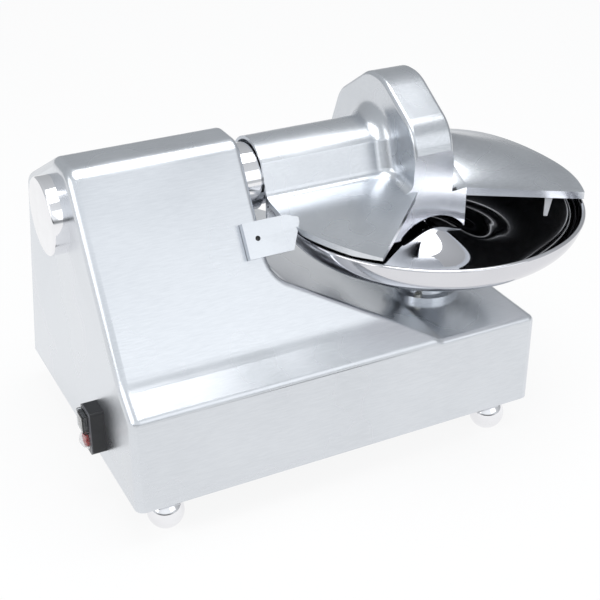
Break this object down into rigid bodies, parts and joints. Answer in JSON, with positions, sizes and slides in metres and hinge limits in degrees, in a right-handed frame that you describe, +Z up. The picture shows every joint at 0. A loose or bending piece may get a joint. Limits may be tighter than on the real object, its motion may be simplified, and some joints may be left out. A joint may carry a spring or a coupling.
{
  "type": "meat bowl cutter",
  "caption": "Table-top meat bowl cutter: cast tower and base on ball feet, turning polished bowl, shaft-driven sickle knives under a hinged cast guard, and a side switch box.",
  "frame": {"origin": "on the table, under the middle of the whole machine's outline", "axes": "+X to the right along the knife shaft towards the bowl, +Y to the back, +Z up"},
  "size_m": [0.712, 0.5144, 0.465],
  "materials": {
    "cast_body": "satin cast",
    "polished_steel": "mirror polished",
    "steel": "machined",
    "iron": "painted casting",
    "bronze": "machined bronze",
    "copper": "enamelled wire",
    "seal_rubber": "matt",
    "belt_rubber": "matt",
    "black_plastic": "matt moulded",
    "grey_plastic": "moulded",
    "red_plastic": "gloss moulded",
    "clear_boot": "clear soft silicone",
    "plated_steel": "zinc plated"
  },
  "bodies": {
    "frame": {"bottom_plate": "steel", "bottom_plate_screws": "plated_steel", "button_boots": "clear_boot", "cable_gland": "black_plastic", "cover_hinge_pin": "steel", "drive_belt": "belt_rubber", "foot_front_left": "polished_steel", "foot_front_right": "polished_steel", "foot_rear_left": "polished_steel", "foot_rear_right": "polished_steel", "front_bearing": "steel", "gearbox_case": "iron", "gearbox_screws": "plated_steel", "housing": "cast_body", "interlock_sensor": "black_plastic", "middle_bearing": "steel", "motor_contactor": "grey_plastic", "motor_end_cap": "polished_steel", "motor_front_shield": "cast_body", "motor_rear_shield": "cast_body", "motor_stator": "iron", "motor_tie_rods": "plated_steel", "pillow_bearing": "steel", "pillow_block": "iron", "rear_bearing": "steel", "shaft_housing": "polished_steel", "shaft_housing_screws": "plated_steel", "shaft_seal": "seal_rubber", "spindle_housing": "cast_body", "spindle_housing_screws": "plated_steel", "spindle_lower_bearing": "steel", "spindle_seal": "seal_rubber", "spindle_upper_bearing": "steel", "start_capacitor": "grey_plastic", "stator_windings": "copper", "switch_bezel": "grey_plastic", "switch_box": "black_plastic", "switch_contact_block": "black_plastic", "worm_bearings": "steel"},
    "knife_drive": {"knife_shaft": "steel", "motor_rotor": "iron", "motor_fan": "black_plastic", "drive_pulley": "iron", "knife_hub": "steel", "knife_spacer": "steel", "knife_nut": "steel", "knife_1": "polished_steel", "knife_2": "polished_steel"},
    "worm_drive": {"worm_shaft": "steel", "driven_pulley": "iron"},
    "bowl_drive": {"bowl": "polished_steel", "bowl_carrier": "steel", "carrier_drive_pins": "steel", "bowl_spindle": "steel", "worm_wheel": "bronze"},
    "guard": {"cover": "cast_body", "bowl_comb": "grey_plastic", "interlock_magnet": "iron"},
    "start": {"start_button": "black_plastic"},
    "stop": {"stop_button": "red_plastic"}
  },
  "joints": [
    {"name": "knife_spin", "type": "hinge", "parent": "frame", "child": "knife_drive", "pos_m": [-0.0415, 0.03978, 0.356], "axis": [1, 0, 0], "continuous": true},
    {"name": "worm_spin", "type": "hinge", "parent": "frame", "child": "worm_drive", "pos_m": [-0.0415, -0.00772, 0.126], "axis": [1, 0, 0], "continuous": true},
    {"name": "bowl_spin", "type": "hinge", "parent": "frame", "child": "bowl_drive", "pos_m": [0.1515, -0.05272, 0.25], "axis": [0, 0, 1], "continuous": true},
    {"name": "guard_lift", "type": "hinge", "parent": "frame", "child": "guard", "pos_m": [-0.0415, 0.15328, 0.323], "axis": [-1, 0, 0], "range_deg": [0, 95]},
    {"name": "start_press", "type": "slide", "parent": "frame", "child": "start", "axis": [1, 0, 0], "range_m": [0, 0.003], "stiffness_N_per_m": 400},
    {"name": "stop_press", "type": "slide", "parent": "frame", "child": "stop", "axis": [1, 0, 0], "range_m": [0, 0.003], "stiffness_N_per_m": 400}
  ],
  "couplings": [
    {"joint": "worm_spin", "follows": "knife_spin", "ratio": 0.34483},
    {"joint": "bowl_spin", "follows": "knife_spin", "ratio": 0.017241}
  ]
}
